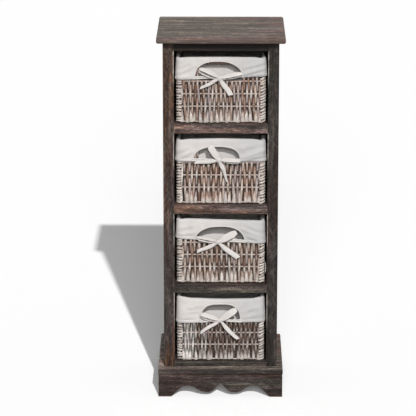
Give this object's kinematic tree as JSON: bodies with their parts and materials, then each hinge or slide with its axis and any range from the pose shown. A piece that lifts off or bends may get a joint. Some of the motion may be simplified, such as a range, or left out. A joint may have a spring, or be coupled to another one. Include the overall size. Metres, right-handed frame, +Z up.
{
  "type": "basket storage unit",
  "caption": "Narrow wooden storage tower with scalloped plinth, open compartments and pull-out woven baskets with cloth liners tied with bows.",
  "frame": {"origin": "On the floor, at the middle of the footprint of the top and base boards.", "axes": "+Z up, +X to the right seen from the front, +Y towards the back; the baskets pull out along -Y."},
  "size_m": [0.28, 0.25, 0.82],
  "materials": {
    "weathered_wood": "dark weathered stain, worn along the edges",
    "back_ply": "thin stained plywood",
    "bare_batten": "sawn batten, thinly stained",
    "dowel_beech": "bare beech",
    "zinc_steel": "zinc plated",
    "woven_straw": "woven plant fibre with a worn white wash",
    "basket_wire": "wire painted off-white",
    "liner_cotton": "plain-woven off-white cotton",
    "tie_tape": "off-white cotton tape"
  },
  "bodies": {
    "cabinet": {"back_apron": "weathered_wood", "back_panel": "back_ply", "back_panel_nails": "zinc_steel", "base_board": "weathered_wood", "base_screws": "zinc_steel", "bottom_rail": "weathered_wood", "cleat_screws": "zinc_steel", "corner_block_screws": "zinc_steel", "front_apron": "weathered_wood", "front_left_corner_block": "bare_batten", "front_right_corner_block": "bare_batten", "header_rail": "weathered_wood", "left_apron": "weathered_wood", "left_cleat_1": "bare_batten", "left_cleat_2": "bare_batten", "left_cleat_3": "bare_batten", "left_side_panel": "weathered_wood", "left_stile": "weathered_wood", "rail_dowels": "dowel_beech", "rear_left_corner_block": "bare_batten", "rear_right_corner_block": "bare_batten", "right_apron": "weathered_wood", "right_cleat_1": "bare_batten", "right_cleat_2": "bare_batten", "right_cleat_3": "bare_batten", "right_side_panel": "weathered_wood", "right_stile": "weathered_wood", "shelf_1": "weathered_wood", "shelf_2": "weathered_wood", "shelf_3": "weathered_wood", "shelf_4": "weathered_wood", "shelf_rail_1": "weathered_wood", "shelf_rail_2": "weathered_wood", "shelf_rail_3": "weathered_wood", "stile_dowels": "dowel_beech", "top_board": "weathered_wood", "top_dowels": "dowel_beech"},
    "basket_1": {"basket_1_liner": "liner_cotton", "basket_1_tie": "tie_tape", "basket_1_weave": "woven_straw", "basket_1_wire_frame": "basket_wire"},
    "basket_2": {"basket_2_liner": "liner_cotton", "basket_2_tie": "tie_tape", "basket_2_weave": "woven_straw", "basket_2_wire_frame": "basket_wire"},
    "basket_3": {"basket_3_liner": "liner_cotton", "basket_3_tie": "tie_tape", "basket_3_weave": "woven_straw", "basket_3_wire_frame": "basket_wire"},
    "basket_4": {"basket_4_liner": "liner_cotton", "basket_4_tie": "tie_tape", "basket_4_weave": "woven_straw", "basket_4_wire_frame": "basket_wire"}
  },
  "joints": [
    {"name": "basket_1_slide", "type": "slide", "parent": "cabinet", "child": "basket_1", "axis": [0, -1, 0], "range_m": [0, 0.24]},
    {"name": "basket_2_slide", "type": "slide", "parent": "cabinet", "child": "basket_2", "axis": [0, -1, 0], "range_m": [0, 0.24]},
    {"name": "basket_3_slide", "type": "slide", "parent": "cabinet", "child": "basket_3", "axis": [0, -1, 0], "range_m": [0, 0.24]},
    {"name": "basket_4_slide", "type": "slide", "parent": "cabinet", "child": "basket_4", "axis": [0, -1, 0], "range_m": [0, 0.24]}
  ]
}
